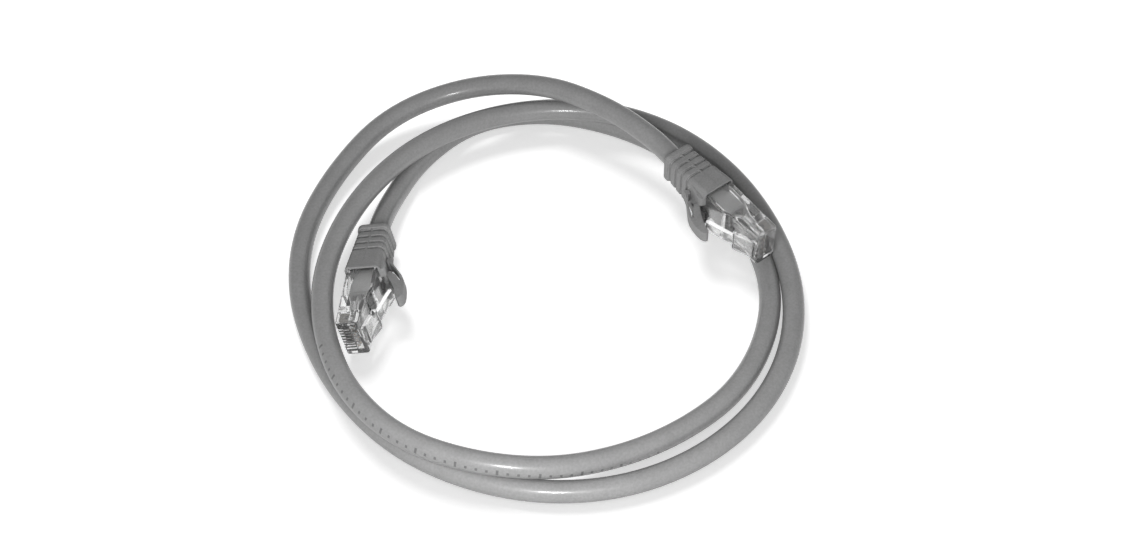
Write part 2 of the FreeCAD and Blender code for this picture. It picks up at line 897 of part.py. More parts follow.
os.makedirs("parts", exist_ok=True)
plugs_box = FreeCAD.BoundBox()
for node in nodes:
    shape = node.Shape
    if shape.isNull() or not shape.isValid():
        raise RuntimeError(node.Label + " has no valid shape")
    if len(shape.Solids) != 1:
        raise RuntimeError(node.Label + " has " + str(len(shape.Solids)) + " solids")
    if node.Label.startswith("plug_"):
        plugs_box.add(shape.BoundBox)
    shape.exportStep("parts/" + node.Label + ".step")
print("nodes", len(nodes))
print("plug pieces span", plugs_box)
print("plug pieces' middle", round((plugs_box.XMin + plugs_box.XMax) / 2, 2),
      round((plugs_box.YMin + plugs_box.YMax) / 2, 2), "lowest", round(plugs_box.ZMin, 3))
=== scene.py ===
"""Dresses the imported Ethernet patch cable: a loose coil with a clear modular plug at each end."""

import logging
import math
from collections.abc import Callable, Sequence
from dataclasses import dataclass
from enum import Enum

import bmesh
import bpy
from mathutils import Matrix, Vector

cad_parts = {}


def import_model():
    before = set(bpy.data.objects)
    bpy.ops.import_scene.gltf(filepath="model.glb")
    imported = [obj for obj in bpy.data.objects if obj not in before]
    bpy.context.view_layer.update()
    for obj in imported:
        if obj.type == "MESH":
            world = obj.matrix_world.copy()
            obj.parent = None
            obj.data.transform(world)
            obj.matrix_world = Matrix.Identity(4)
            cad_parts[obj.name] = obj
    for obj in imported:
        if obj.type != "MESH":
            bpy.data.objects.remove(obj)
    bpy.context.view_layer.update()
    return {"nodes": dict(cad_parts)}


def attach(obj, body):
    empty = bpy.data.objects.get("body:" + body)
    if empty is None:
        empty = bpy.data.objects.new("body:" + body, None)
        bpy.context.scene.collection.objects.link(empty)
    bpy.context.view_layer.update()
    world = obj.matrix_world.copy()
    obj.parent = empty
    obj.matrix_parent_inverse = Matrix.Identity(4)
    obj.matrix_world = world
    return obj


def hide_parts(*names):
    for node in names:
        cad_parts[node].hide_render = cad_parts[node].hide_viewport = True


log = logging.getLogger("patch_cable")

Pair = tuple[float, float]
Triple = tuple[float, float, float]
Outline = Sequence[Pair]
Piece = bpy.types.Object
Socket = bpy.types.NodeSocket
Feed = float | tuple[float, ...] | Socket
Test = Callable[[Vector, Vector], bool]

MM = 0.001
WHITE = (1, 1, 1, 1)

# Sizes that several pieces share, in millimetres, in a plug's own frame
CONTACTS = 8
CONTACT_PITCH = 1.02
LATCH_PIVOT: Pair = (-1.5, 2.75)
LATCH_BASE = 6.2
GUARD_PIVOT: Pair = (-25.7, 5.3)

# A noise texture's values lie mostly between these
NOISE_BAND: Pair = (0.3, 0.7)
# The tone drifts over patches this many grains wide
DRIFT_GRAINS = 12
# How square on a face is that counts as facing a way
FACING = 0.9
# How near its place a face's middle is, and below what distance corners are one, in millimetres
LEEWAY = 0.1
WELD = 0.01


class Surface(Enum):
    """How a finish meets the light."""

    MATT = "matt"
    CLEAR = "clear"
    METAL = "metal"


class Job(Enum):
    """What a lamp lights: the floor alone, or the tone or the glints of the cable alone."""

    FLOOR = "floor"
    TONE = "tone"
    GLINT = "glint"


class Element(Enum):
    """What is picked in edit mode."""

    FACE = "FACE"
    EDGE = "EDGE"


class Joining(Enum):
    """How one piece meets another."""

    CUT = "DIFFERENCE"
    MELT = "UNION"


def column(pin: int) -> float:
    """Gives how far across the plug a contact stands, in millimetres."""
    return CONTACT_PITCH * (pin - (CONTACTS - 1) / 2)


def ease(share: float) -> float:
    """Makes an even share, from 0 to 1, start and end softly."""
    return share * share * (3 - 2 * share)


def walk(line: list[Vector]) -> list[tuple[Vector, Vector, float]]:
    """Goes along a line point by point.

    Args:
        line: points along it, in metres.

    Returns:
        Each point, with the line's direction there and the distance so far.
    """
    found = []
    reach = 0.0
    for before, point, after in zip(line[:1] + line, line, line[1:] + line[-1:]):
        reach += (point - before).length
        found.append((point, (after - before).normalized(), reach))
    return found


def hang(name: str, data: bpy.types.ID) -> Piece:
    """Adds an object to the scene.

    Args:
        name: the object's name.
        data: its mesh, curve, camera or light.

    Returns:
        The new object.
    """
    made = bpy.data.objects.new(name, data)
    bpy.context.scene.collection.objects.link(made)
    return made


def aim(thing: Piece, place: Vector, way: Vector) -> None:
    """Places a camera or a lamp and points it.

    Args:
        thing: the camera or lamp.
        place: where it stands, in metres.
        way: where it points.
    """
    thing.location = place
    thing.rotation_mode = "QUATERNION"
    thing.rotation_quaternion = way.to_track_quat("-Z", "Y")


@dataclass
class Wiring:
    """The node tree of a material or of the world, and how nodes are added to it."""

    tree: bpy.types.NodeTree

    def fill(self, node: bpy.types.Node, values: dict[str | int, Feed]) -> bpy.types.Node:
        """Sets or feeds a node's inputs.

        Args:
            node: the node.
            values: a number, a colour or the socket that feeds it, for each input.

        Returns:
            The node.
        """
        for name, value in values.items():
            if isinstance(value, Socket):
                self.tree.links.new(value, node.inputs[name])
            else:
                node.inputs[name].default_value = value
        return node

    def add(self, kind: str, values: dict[str | int, Feed], operation: str = "") -> bpy.types.Node:
        """Adds a node.

        Args:
            kind: the shader node's kind.
            values: what its inputs get.
            operation: the sum that it does, for a kind that has several.

        Returns:
            The new node.
        """
        node = self.tree.nodes.new("ShaderNode" + kind)
        if operation:
            node.operation = operation
        return self.fill(node, values)

    def maths(self, operation: str, *values: Feed) -> Socket:
        """Adds a sum on numbers or sockets and gives its result."""
        return self.add("Math", dict(enumerate(values)), operation).outputs[0]

    def scale(self, colour: Socket, level: bpy.types.Node) -> Socket:
        """Multiplies a colour by a node's result and gives the new colour."""
        values = {0: colour, "Scale": level.outputs["Result"]}
        return self.add("VectorMath", values, "SCALE").outputs["Vector"]


@dataclass(frozen=True)
class Finish:
    """A procedural material for one of the cable's finishes.

    Its colour is linear. The moulded grain's height is in metres, and its size is a noise scale.
    The tone drifts by mottle over some millimetres and changes by speck from grain to grain.
    """

    name: str
    colour: Triple
    roughness: float
    surface: Surface = Surface.MATT
    grain: float = 0.00002
    grain_size: float = 2500.0
    mottle: float = 0.08
    speck: float = 0.0
    specular: float = 0.5
    coat: float = 0.0

    def tone(self, wiring: Wiring, place: Socket) -> Socket:
        """Adds the drifting, speckled tone.

        Args:
            wiring: the material's node tree.
            place: the socket with the point's place.

        Returns:
            The socket with the colour.
        """
        drift = wiring.add("TexNoise", {
            "Vector": place, "Scale": self.grain_size / DRIFT_GRAINS, "Detail": 3.0,
        })
        ramp = wiring.add("ValToRGB", {"Fac": drift.outputs["Fac"]})
        changes = (-self.mottle, self.mottle)
        for stop, at, change in zip(ramp.color_ramp.elements, NOISE_BAND, changes):
            stop.position = at
            stop.color = (*(min(1.0, value * (1 + change)) for value in self.colour), 1)
        if not self.speck:
            return ramp.outputs["Color"]
        fine = wiring.add("TexNoise", {"Vector": place, "Scale": self.grain_size, "Detail": 2.0})
        level = wiring.add("MapRange", {
            "Value": fine.outputs["Fac"], "From Min": NOISE_BAND[0], "From Max": NOISE_BAND[1],
            "To Min": 1 - self.speck, "To Max": 1 + self.speck,
        })
        return wiring.scale(ramp.outputs["Color"], level)

    def build(self) -> bpy.types.Material:
        """Makes the material.

        Returns:
            The new material.
        """
        made = bpy.data.materials.new(self.name)
        made.use_nodes = True
        wiring = Wiring(made.node_tree)
        place = wiring.add("TexCoord", {}).outputs["Object"]
        noise = wiring.add("TexNoise", {"Vector": place, "Scale": self.grain_size, "Detail": 4.0})
        bump = wiring.add("Bump", {
            "Height": noise.outputs["Fac"], "Distance": self.grain, "Strength": 0.6,
        })
        values = {
            "Normal": bump.outputs["Normal"], "Base Color": self.tone(wiring, place),
            "Roughness": self.roughness, "Specular IOR Level": self.specular,
            "Coat Weight": self.coat, "Coat Roughness": 0.14,
        }
        if self.surface is Surface.CLEAR:
            values |= {"Transmission Weight": 0.97, "IOR": 1.58}
        if self.surface is Surface.METAL:
            values |= {"Metallic": 1.0}
        wiring.fill(made.node_tree.nodes["Principled BSDF"], values)
        return made


@dataclass(frozen=True)
class TickedFinish(Finish):
    """The sheath's finish, with plain length ticks printed along one side.

    Pitch, stroke and stretch are in metres along the cord, and one tick in long_every is long.
    Around and reach, half a long tick's height, are shares of the way round the cord. Winding is
    the row's turns round it in a metre, and ink is how light a tick is beside the sheath.
    """

    pitch: float = 0.0025
    long_every: int = 4
    stroke: float = 0.0006
    around: float = 0.08
    winding: float = 1.3
    stretch: Pair = (0.6, 0.72)
    reach: float = 0.045
    ink: float = 0.5

    def tone(self, wiring: Wiring, place: Socket) -> Socket:
        """Adds the sheath's tone, darkened by the ticks.

        Args:
            wiring: the material's node tree.
            place: the socket with the point's place.

        Returns:
            The socket with the colour.
        """
        along = wiring.add("UVMap", {})
        along.uv_map = "along"
        parts = wiring.add("SeparateXYZ", {0: along.outputs["UV"]})
        metres = parts.outputs["X"]
        maths = wiring.maths
        share = maths("FRACT", maths("MULTIPLY", metres, 1 / self.pitch))
        stroke = maths("LESS_THAN", share, self.stroke / self.pitch)
        group = maths("FRACT", maths("MULTIPLY", metres, 1 / (self.pitch * self.long_every)))
        chosen = maths("LESS_THAN", group, 1 / self.long_every)
        # Three whole turns keep the place round the cord above 0, and half a turn centres it
        half_way = 0.5
        wound = maths("SUBTRACT", parts.outputs["Y"], maths("MULTIPLY", metres, self.winding))
        row = maths("FRACT", maths("ADD", wound, 3 + half_way - self.around))
        short = maths("COMPARE", row, half_way, self.reach * 0.5)
        long = maths("MULTIPLY", maths("COMPARE", row, half_way, self.reach), chosen)
        marks = maths("MULTIPLY", stroke, maths("MAXIMUM", short, long))
        middle = sum(self.stretch) / 2
        here = maths("COMPARE", metres, middle, self.stretch[1] - middle)
        printed = maths("MULTIPLY", marks, here)
        shade = wiring.add("MapRange", {"Value": printed, "To Min": 1.0, "To Max": self.ink})
        return wiring.scale(super().tone(wiring, place), shade)


CORD_PVC = TickedFinish(
    "cord_pvc_grey", (0.225, 0.225, 0.225), 0.33, grain=0.000012, grain_size=1600.0,
    mottle=0.045, speck=0.08, specular=0.3, coat=0.45,
)
BOOT_PVC = Finish(
    "boot_pvc_grey", (0.225, 0.225, 0.225), 0.5, grain=0.00003, grain_size=2600.0,
    mottle=0.06, speck=0.12, specular=0.35,
)
CLEAR_PC = Finish(
    "clear_polycarbonate", (0.97, 0.97, 0.97), 0.06, Surface.CLEAR, grain=0.000003, mottle=0.01,
)
# The contacts' gold is darkened far below its own tone: painted shade of the slots in the nose
CONTACT_GOLD_PAINTED_SHADE = Finish("contact_gold", (0.12, 0.112, 0.098), 0.35, Surface.METAL, grain=0.000004)
COPPER = Finish("bare_copper", (0.4, 0.33, 0.27), 0.35, Surface.METAL, grain=0.000004)
FILLER = Finish("filler_natural", (0.5, 0.5, 0.5), 0.6)
WIRE_LIGHT = Finish("insulation_pale", (0.5, 0.5, 0.5), 0.35)
WIRE_DARK = Finish("insulation_dark", (0.12, 0.12, 0.12), 0.35)
FINISHES = (CORD_PVC, BOOT_PVC, CLEAR_PC, CONTACT_GOLD_PAINTED_SHADE, COPPER, FILLER, WIRE_LIGHT, WIRE_DARK)

Looks = dict[Finish, bpy.types.Material]


@dataclass
class PlugPlace:
    """Where a plug lies.

    Its nose is in millimetres from the loop's middle, and its angles are in degrees. Latch is 1
    if the latch is to the left of the heading, and -1 if it is to the right.
    """

    nose: Triple
    heading: float
    climb: float
    roll: float
    latch: int

    def axes(self) -> tuple[Vector, Vector, Vector]:
        """Gives the plug's directions.

        Returns:
            Forward, to the latch side and across.
        """
        heading = math.radians(self.heading)
        climb = math.radians(self.climb)
        forward = Vector((
            math.cos(heading) * math.cos(climb),
            math.sin(heading) * math.cos(climb),
            math.sin(climb),
        ))
        latch = Vector((-math.sin(heading), math.cos(heading), 0.0)) * self.latch
        latch = Matrix.Rotation(math.radians(self.roll), 3, forward) @ latch
        return forward, latch, forward.cross(latch)

    def point(self, x: float, y: float = 0.0, z: float = 0.0) -> Vector:
        """Gives a point of the plug's own frame in the part's frame, in metres.

        Args:
            x: millimetres forward of the nose.
            y: millimetres to the latch side.
            z: millimetres across.

        Returns:
            The point in the part's frame.
        """
        forward, latch, across = self.axes()
        middle = Vector((*LOOP_MIDDLE, 0.0))
        return (Vector(self.nose) + middle + forward * x + latch * y + across * z) * MM

    def matrix(self) -> Matrix:
        """Gives the plug's place, from its own millimetres to the part's metres."""
        turn = Matrix([axis.to_tuple() for axis in self.axes()]).transposed().to_4x4()
        return Matrix.Translation(self.point(0.0)) @ turn @ Matrix.Scale(MM, 4)


LOOP_MIDDLE: Pair = (-3.45, -8.9)
PLUGS = {
    "a": PlugPlace((57.4, 6.9, 11.6), -53.0, -3.0, 2.5, -1),
    "b": PlugPlace((-48.4, -21.1, 8.45), -95.0, 3.5, 12.0, 1),
}


@dataclass
class Camera:
    """The photograph's viewpoint, aimed at a point beside the loop's middle."""

    elevation: float = 50.0
    distance: float = 560.0
    focal_pixels: float = 2094.4
    image_width: int = 1138
    beside: Pair = (6.08, 6.33)

    def build(self) -> None:
        """Makes the camera and sets it as the scene's."""
        data = bpy.data.cameras.new("camera")
        data.lens = data.sensor_width * self.focal_pixels / self.image_width
        data.clip_start = 0.01
        data.clip_end = 20.0
        lift = math.radians(self.elevation)
        back = Vector((0.0, -math.cos(lift), math.sin(lift)))
        across, along = (a + b for a, b in zip(self.beside, LOOP_MIDDLE))
        target = Vector((across, along, 0.0)) * MM
        made = hang("camera", data)
        aim(made, target + back * self.distance * MM, -back)
        bpy.context.scene.camera = made


@dataclass
class Tube:
    """A tube along a line, flat where it lies on the table.

    Its sizes are in metres. A bore of 0 closes its ends, and mouth is how deep a bore goes in.
    Lobes is the depth of the hollows between its four lobes, as a share of its radius.
    """

    name: str
    radius: float
    bore: float = 0.0
    sides: int = 32
    lobes: float = 0.0
    mouth: float = 0.0015

    def ring(self, centre: Vector, side: Vector, up: Vector) -> list[Vector]:
        """Gives the points round the tube at one place of its line.

        Args:
            centre: the place.
            side: a direction across the tube.
            up: the other direction across it.

        Returns:
            The ring's points, none below the table.
        """
        found = []
        for number in range(self.sides):
            turn = 2 * math.pi * number / self.sides
            reach = self.radius * (1 - self.lobes * (0.5 - 0.5 * math.cos(4 * turn)))
            place = centre + side * math.cos(turn) * reach + up * math.sin(turn) * reach
            place.z = max(place.z, 0.0)
            found.append(place)
        return found

    def build(self, line: list[Vector]) -> Piece:
        """Makes the tube.

        Args:
            line: points along its middle, in metres.

        Returns:
            The new piece.
        """
        work = bmesh.new()
        along = work.loops.layers.uv.new("along")
        steps = walk(line)
        side = (line[1] - line[0]).cross(Vector((0, 0, 1))).normalized()
        rings = []
        for point, way, _ in steps:
            side = (side - way * side.dot(way)).normalized()
            places = self.ring(point, side, way.cross(side))
            rings.append([work.verts.new(place) for place in places])
        for index in range(len(rings) - 1):
            here, there = rings[index], rings[index + 1]
            for number in range(self.sides):
                after = (number + 1) % self.sides
                face = work.faces.new((here[number], here[after], there[after], there[number]))
                face.smooth = True
                for loop, (first, second) in zip(face.loops, ((0, 0), (0, 1), (1, 1), (1, 0))):
                    loop[along].uv = (steps[index + first][2], (number + second) / self.sides)
        self.close(work, rings[0], line[0], line[1])
        self.close(work, rings[-1], line[-1], line[-2])
        bmesh.ops.recalc_face_normals(work, faces=work.faces)
        mesh = bpy.data.meshes.new(self.name)
        work.to_mesh(mesh)
        work.free()
        return hang(self.name, mesh)

    def close(self, work: bmesh.types.BMesh, ring: list, middle: Vector, inside: Vector) -> None:
        """Closes an end, with the mouth of the bore where the tube has one.

        Args:
            work: the mesh.
            ring: the end's ring.
            middle: the end's middle.
            inside: the next point of the line.
        """
        if not self.bore:
            work.faces.new(ring)
            return
        way = (inside - middle).normalized()
        share = self.bore / self.radius
        mouth = [work.verts.new(middle + (vertex.co - middle) * share) for vertex in ring]
        deep = [work.verts.new(vertex.co + way * self.mouth) for vertex in mouth]
        for number in range(self.sides):
            after = (number + 1) % self.sides
            work.faces.new((ring[number], mouth[number], mouth[after], ring[after]))
            work.faces.new((mouth[number], deep[number], deep[after], mouth[after]))
        work.faces.new(deep)


@dataclass
class Cord:
    """The sheathed cord, from inside one plug to inside the other, with what it holds.

    Its sizes are in millimetres and degrees. The ones along it are read from a plug's nose.
    Pressed_square is a power, and pressed_past and filler_lobes are shares of a radius.
    """

    width: float = 5.8
    bore: float = 4.4
    first_angle: float = 73.0
    step: float = 18.0
    end: float = 11.6
    held: float = 26.0
    boot_rear: float = 37.2
    lead: float = 38.0
    rises: Pair = (9.5, 3.5)
    levels: Triple = (2.4, 8.3, 15.1)
    pressed_from: float = 19.3
    pressed_run: float = 2.0
    pressed_half: Pair = (3.1, 4.6)
    pressed_square: float = 0.55
    pressed_past: float = 1.1
    filler_width: float = 1.9
    filler_lobes: float = 0.45
    filler_trim: int = 6
    insulation_width: float = 0.92
    conductor_width: float = 0.6
    conductor_gap: float = 0.01
    ring_radius: float = 1.62
    pair_angle: float = 38.0
    row_offset: float = 0.35
    wire_end: float = 1.6
    fan_end: float = 8.7
    fan_past: float = 0.6
    fan_steps: int = 6
    turn_run: float = 24.0

    def turn_corners(self) -> list[Pair]:
        """Gives the loose turns' corners.

        Returns:
            The distance from the loop's middle and the height of each.
        """
        low, high, top = self.levels
        return [
            (57.5, top + 0.3), (64.9, top - 0.1), (73.0, high + 1.3), (75.0, high - 1.7),
            (71.7, low + 1.1), (69.0, low + 0.4), (65.7, low + 0.1), (62.8, low), (62.1, low),
            (62.7, low), (63.5, low), (64.9, low), (66.2, low), (66.9, low), (67.2, low),
            (66.8, low), (65.8, low + 0.6), (64.3, low + 2.0), (63.6, high - 1.7), (63.1, high),
            (62.9, high), (61.7, high), (60.4, high), (59.1, high + 0.15), (57.9, high + 0.05),
            (57.7, high), (58.8, high), (60.3, high), (62.5, high), (63.6, high), (62.3, high),
            (60.6, high - 1.7), (58.1, low + 1.5), (57.9, low + 0.6), (59.2, low), (59.7, low),
            (60.0, low), (58.9, low), (58.3, low), (61.9, low), (63.9, low), (66.1, low),
            (65.7, low), (59.3, low), (52.2, low + 1.3),
        ]

    def route(self) -> list[Vector]:
        """Gives the cord's control points.

        Returns:
            Points from plug a to plug b, in metres.
        """
        first, last = PLUGS["a"], PLUGS["b"]
        leaving = (self.end, self.held, self.lead, self.lead + self.rises[0])
        arriving = (self.lead + self.rises[1], self.lead, self.held, self.end)
        points = [first.point(-reach) for reach in leaving]
        for number, (radius, height) in enumerate(self.turn_corners()):
            turn = math.radians(self.first_angle + self.step * number)
            points.append(Vector((
                LOOP_MIDDLE[0] + radius * math.cos(turn),
                LOOP_MIDDLE[1] + radius * math.sin(turn),
                height,
            )) * MM)
        return points + [last.point(-reach) for reach in arriving]

    def line(self) -> list[Vector]:
        """Reads the smooth line that the control points give.

        Returns:
            Points along the spline, in metres.
        """
        curve = bpy.data.curves.new("cord_line", "CURVE")
        curve.dimensions = "3D"
        curve.resolution_u = 8
        spline = curve.splines.new("NURBS")
        points = self.route()
        spline.points.add(len(points) - 1)
        for point, place in zip(spline.points, points):
            point.co = (*place, 1.0)
        spline.order_u = 3
        spline.use_endpoint_u = True
        holder = hang("cord_line", curve)
        bpy.context.view_layer.update()
        mesh = bpy.data.meshes.new_from_object(holder)
        found = [vertex.co.copy() for vertex in mesh.vertices]
        bpy.data.objects.remove(holder)
        bpy.data.meshes.remove(mesh)
        return found

    def press(self, sheath: Piece) -> None:
        """Presses the sheath's ends oblong, as the clamp in each housing does.

        Args:
            sheath: the sheath.
        """
        half = self.width / 2
        outermost = half * self.pressed_past
        for place in PLUGS.values():
            into = place.matrix()
            back = into.inverted()
            for vertex in sheath.data.vertices:
                own = back @ vertex.co
                reach = math.hypot(own.y, own.z)
                if not -self.pressed_from < own.x < 0 or reach > outermost:
                    continue
                share = ease(min(1.0, (own.x + self.pressed_from) / self.pressed_run))
                wide = [value / reach for value in (own.y, own.z)]
                for number, span in enumerate(self.pressed_half):
                    flat = math.copysign(abs(wide[number]) ** self.pressed_square, wide[number])
                    own[number + 1] += (flat * span * reach / half - own[number + 1]) * share
                vertex.co = into @ own
        sheath.data.update()

    def ring_place(self, pin: int) -> Pair:
        """Gives a wire's place round the filler, to the latch side and across, in millimetres.

        Args:
            pin: the wire's number, from 0.

        Returns:
            Its place.
        """
        half = math.radians(45 - self.pair_angle / 2)
        pair = pin // 2
        outer = pair in (0, 3)
        up = self.ring_radius * (math.sin(half) if outer else math.cos(half))
        across = self.ring_radius * (math.cos(half) if outer else math.sin(half))
        return (-up if pin % 2 else up), (-across if pair < 2 else across)

    def wire_line(self, pin: int, line: list[Vector]) -> list[Vector]:
        """Gives a wire's line, from one load bar through the sheath to the other.

        Args:
            pin: the wire's number, from 0.
            line: the cord's line, in metres.

        Returns:
            Points along the wire, in metres.
        """
        latch = PLUGS["a"].axes()[1]
        frames = []
        for point, way, reach in walk(line):
            latch = (latch - way * latch.dot(way)).normalized()
            frames.append((point, way, latch, reach))
        _, way, arrived, length = frames[-1]
        wanted = -PLUGS["b"].axes()[1]
        lag = math.atan2(arrived.cross(wanted).dot(way), arrived.dot(wanted))
        up, across = self.ring_place(pin)
        turn_run = self.turn_run * MM
        middle = []
        for point, way, latch, reach in frames[::2] + [frames[-1]]:
            first = min(1.0, reach / turn_run)
            last = max(0.0, 1 - (length - reach) / turn_run)
            turned = Matrix.Rotation(lag / 2 * (first + last), 3, way) @ latch
            middle.append(point + (turned * up + turned.cross(way) * across) * MM)
        return self.fan("a", pin, 1) + middle[1:-1] + self.fan("b", pin, -1)[::-1]

    def fan(self, end: str, pin: int, side: int) -> list[Vector]:
        """Gives the stretch where a wire spreads from the sheath to its place in the load bar.

        Args:
            end: which plug.
            pin: the wire's number, from 0.
            side: 1 if the ring's upper half is at this plug's latch side, or else -1.

        Returns:
            Points from the wire's end to the sheath, in metres.
        """
        place = PLUGS[end]
        up, across = self.ring_place(pin)
        up *= side
        row = side * self.row_offset * (-1 if pin % 2 else 1)
        seat = column(pin)
        found = [place.point(-x, row, seat) for x in (self.wire_end, self.fan_end)]
        for number in range(1, self.fan_steps):
            share = number / self.fan_steps
            soft = ease(share)
            x = self.fan_end + (self.end + self.fan_past - self.fan_end) * share
            found.append(place.point(-x, row + (up - row) * soft, seat + (across - seat) * soft))
        return found

    def build(self, looks: Looks) -> None:
        """Args:
            looks: the materials by finish.
        """
        line = self.line()
        sheath = Tube("sheath", self.width / 2 * MM, self.bore / 2 * MM).build(line)
        self.press(sheath)
        dress(sheath, looks[CORD_PVC], "cord", "cord_sheath")
        filler = Tube("filler", self.filler_width / 2 * MM, sides=16, lobes=self.filler_lobes)
        trim = self.filler_trim
        inside = [filler.build(line[trim:-trim:2])]
        dress(inside[0], looks[FILLER], "cord", "cord_filler")
        bare = self.conductor_width / 2
        for pin in range(CONTACTS):
            route = self.wire_line(pin, line)
            number = str(pin + 1)
            shade, finish = ("dark", WIRE_DARK) if pin % 2 else ("light", WIRE_LIGHT)
            jacket = Tube("wire_" + number, self.insulation_width / 2 * MM, bare * MM, sides=10)
            metal = Tube("conductor_" + number, (bare - self.conductor_gap) * MM, sides=8)
            for tube, look, part, slot in (
                (jacket, finish, "_insulation", "insulation_" + shade),
                (metal, COPPER, "_conductor", "copper"),
            ):
                inside.append(tube.build(route))
                dress(inside[-1], looks[look], "cord", "wire_" + number + part)
        exit_point = PLUGS["a"].point(-self.boot_rear)


def dress(piece: Piece, look: bpy.types.Material, rider: str, node: str) -> None:
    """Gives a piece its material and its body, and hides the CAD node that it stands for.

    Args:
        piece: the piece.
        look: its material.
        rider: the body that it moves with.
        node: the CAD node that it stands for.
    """
    piece.data.materials.clear()
    piece.data.materials.append(look)
    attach(piece, rider)
    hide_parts(node)
    log.info("%s: %d faces", piece.name, len(piece.data.polygons))


# The functions below shape pieces by hand, in millimetres, in a plug's own frame
def hold(piece: Piece) -> None:
    """Makes a piece the only selected and the active one.

    Args:
        piece: the piece.
    """
    bpy.ops.object.select_all(action="DESELECT")
    piece.select_set(True)
    bpy.context.view_layer.objects.active = piece


def take(name: str) -> Piece:
    """Names the piece that was just added and sets its place in its mesh.

    Args:
        name: the piece's name.

    Returns:
        The piece.
    """
    piece = bpy.context.object
    piece.name = name
    bpy.ops.object.transform_apply(location=True, rotation=True, scale=True)
    return piece


def block(name: str, low: Triple, high: Triple) -> Piece:
    """Adds a block between two corners.

    Args:
        name: the piece's name.
        low: its lowest corner.
        high: its highest corner.

    Returns:
        The new piece.
    """
    middle = [(a + b) / 2 for a, b in zip(low, high)]
    spans = [b - a for a, b in zip(low, high)]
    bpy.ops.mesh.primitive_cube_add(size=1.0, location=middle, scale=spans)
    return take(name)


def rod(name: str, start: Triple, end: Triple, radius: float, sides: int = 32) -> Piece:
    """Adds a round rod between two points.

    Args:
        name: the piece's name.
        start: the middle of its first end.
        end: the middle of its other end.
        radius: its radius.
        sides: how many sides it has.

    Returns:
        The new piece.
    """
    way = Vector(end) - Vector(start)
    bpy.ops.mesh.primitive_cylinder_add(
        vertices=sides, radius=radius, depth=way.length,
        location=(Vector(start) + Vector(end)) / 2,
        rotation=way.to_track_quat("Z", "Y").to_euler(),
    )
    return take(name)


def outline(name: str, points: Outline, half_width: float, middle: float = 0.0) -> Piece:
    """Adds a flat outline, pulls its corners into place and extrudes it.

    Args:
        name: the piece's name.
        points: the outline's corners, forward and to the latch side.
        half_width: how far it reaches to each side of its middle.
        middle: how far its middle is across.

    Returns:
        The new piece.
    """
    bpy.ops.mesh.primitive_circle_add(vertices=len(points), radius=1.0, fill_type="NGON")
    piece = bpy.context.object
    piece.name = name
    bpy.ops.object.mode_set(mode="EDIT")
    bpy.ops.mesh.select_mode(type="VERT")
    for number, (x, y) in enumerate(points):
        bpy.ops.mesh.select_all(action="DESELECT")
        work = bmesh.from_edit_mesh(piece.data)
        work.verts.ensure_lookup_table()
        corner = work.verts[number]
        corner.select_set(True)
        work.select_flush(True)
        shift = Vector((x, y, middle - half_width)) - corner.co
        bmesh.update_edit_mesh(piece.data)
        bpy.ops.transform.translate(value=shift)
    bpy.ops.mesh.select_all(action="SELECT")
    bpy.ops.mesh.extrude_region_move(TRANSFORM_OT_translate={"value": (0, 0, 2 * half_width)})
    bpy.ops.mesh.select_all(action="SELECT")
    bpy.ops.mesh.normals_make_consistent(inside=False)
    bpy.ops.object.mode_set(mode="OBJECT")
    return piece


def pick(piece: Piece, kind: Element, test: Test) -> None:
    """Selects the faces or edges that pass a test, in edit mode.

    Args:
        piece: the piece that is being edited.
        kind: what is selected.
        test: takes a face's middle and normal, or an edge's middle and direction.
    """
    bpy.ops.mesh.select_mode(type=kind.value)
    bpy.ops.mesh.select_all(action="DESELECT")
    work = bmesh.from_edit_mesh(piece.data)
    work.normal_update()
    if kind is Element.FACE:
        for face in work.faces:
            if test(face.calc_center_median(), face.normal):
                face.select_set(True)
    else:
        for edge in work.edges:
            first, last = (vertex.co for vertex in edge.verts)
            if test((first + last) / 2, last - first):
                edge.select_set(True)
    bmesh.update_edit_mesh(piece.data)


def split(place: Triple, way: Triple) -> None:
    """Cuts the edited mesh along the plane at a place, square to a way, and keeps both sides."""
    bpy.ops.mesh.select_all(action="SELECT")
    bpy.ops.mesh.bisect(plane_co=place, plane_no=way)


def swell(piece: Piece, height: float, test: Test) -> None:
    """Raises the faces that pass a test along their normals, or sinks them.

    Args:
        piece: the piece that is being edited.
        height: how far they rise, below 0 where they sink.
        test: takes a face's middle and normal.
    """
    pick(piece, Element.FACE, test)
    bpy.ops.mesh.extrude_region_shrink_fatten(
        TRANSFORM_OT_shrink_fatten={"value": height, "use_even_offset": True}
    )


def join(piece: Piece, other: Piece, how: Joining = Joining.CUT) -> None:
    """Cuts another piece out of this one, or melts it in, and deletes the other.

    Args:
        piece: the piece that stays.
        other: the piece that is used up.
        how: whether it is cut out or melted in.
    """
    hold(piece)
    cut = piece.modifiers.new("cut", "BOOLEAN")
    cut.operation = how.value
    cut.solver = "MANIFOLD"
    cut.object = other
    bpy.ops.object.modifier_apply(modifier="cut")
    bpy.data.objects.remove(other)
    bpy.ops.object.mode_set(mode="EDIT")
    bpy.ops.mesh.select_all(action="SELECT")
    bpy.ops.mesh.remove_doubles(threshold=WELD)
    bpy.ops.mesh.dissolve_degenerate(threshold=WELD)
    bpy.ops.object.mode_set(mode="OBJECT")


def soften(piece: Piece, width: float, segments: int = 2, angle: float = 35.0) -> None:
    """Rounds a piece's sharp edges.

    Args:
        piece: the piece.
        width: the rounding's width.
        segments: how many steps it has.
        angle: the sharpest turn, in degrees, that stays as it is.
    """
    hold(piece)
    bevel = piece.modifiers.new("edges", "BEVEL")
    bevel.width = width
    bevel.segments = segments
    bevel.limit_method = "ANGLE"
    bevel.angle_limit = math.radians(angle)
    bpy.ops.object.modifier_apply(modifier="edges")


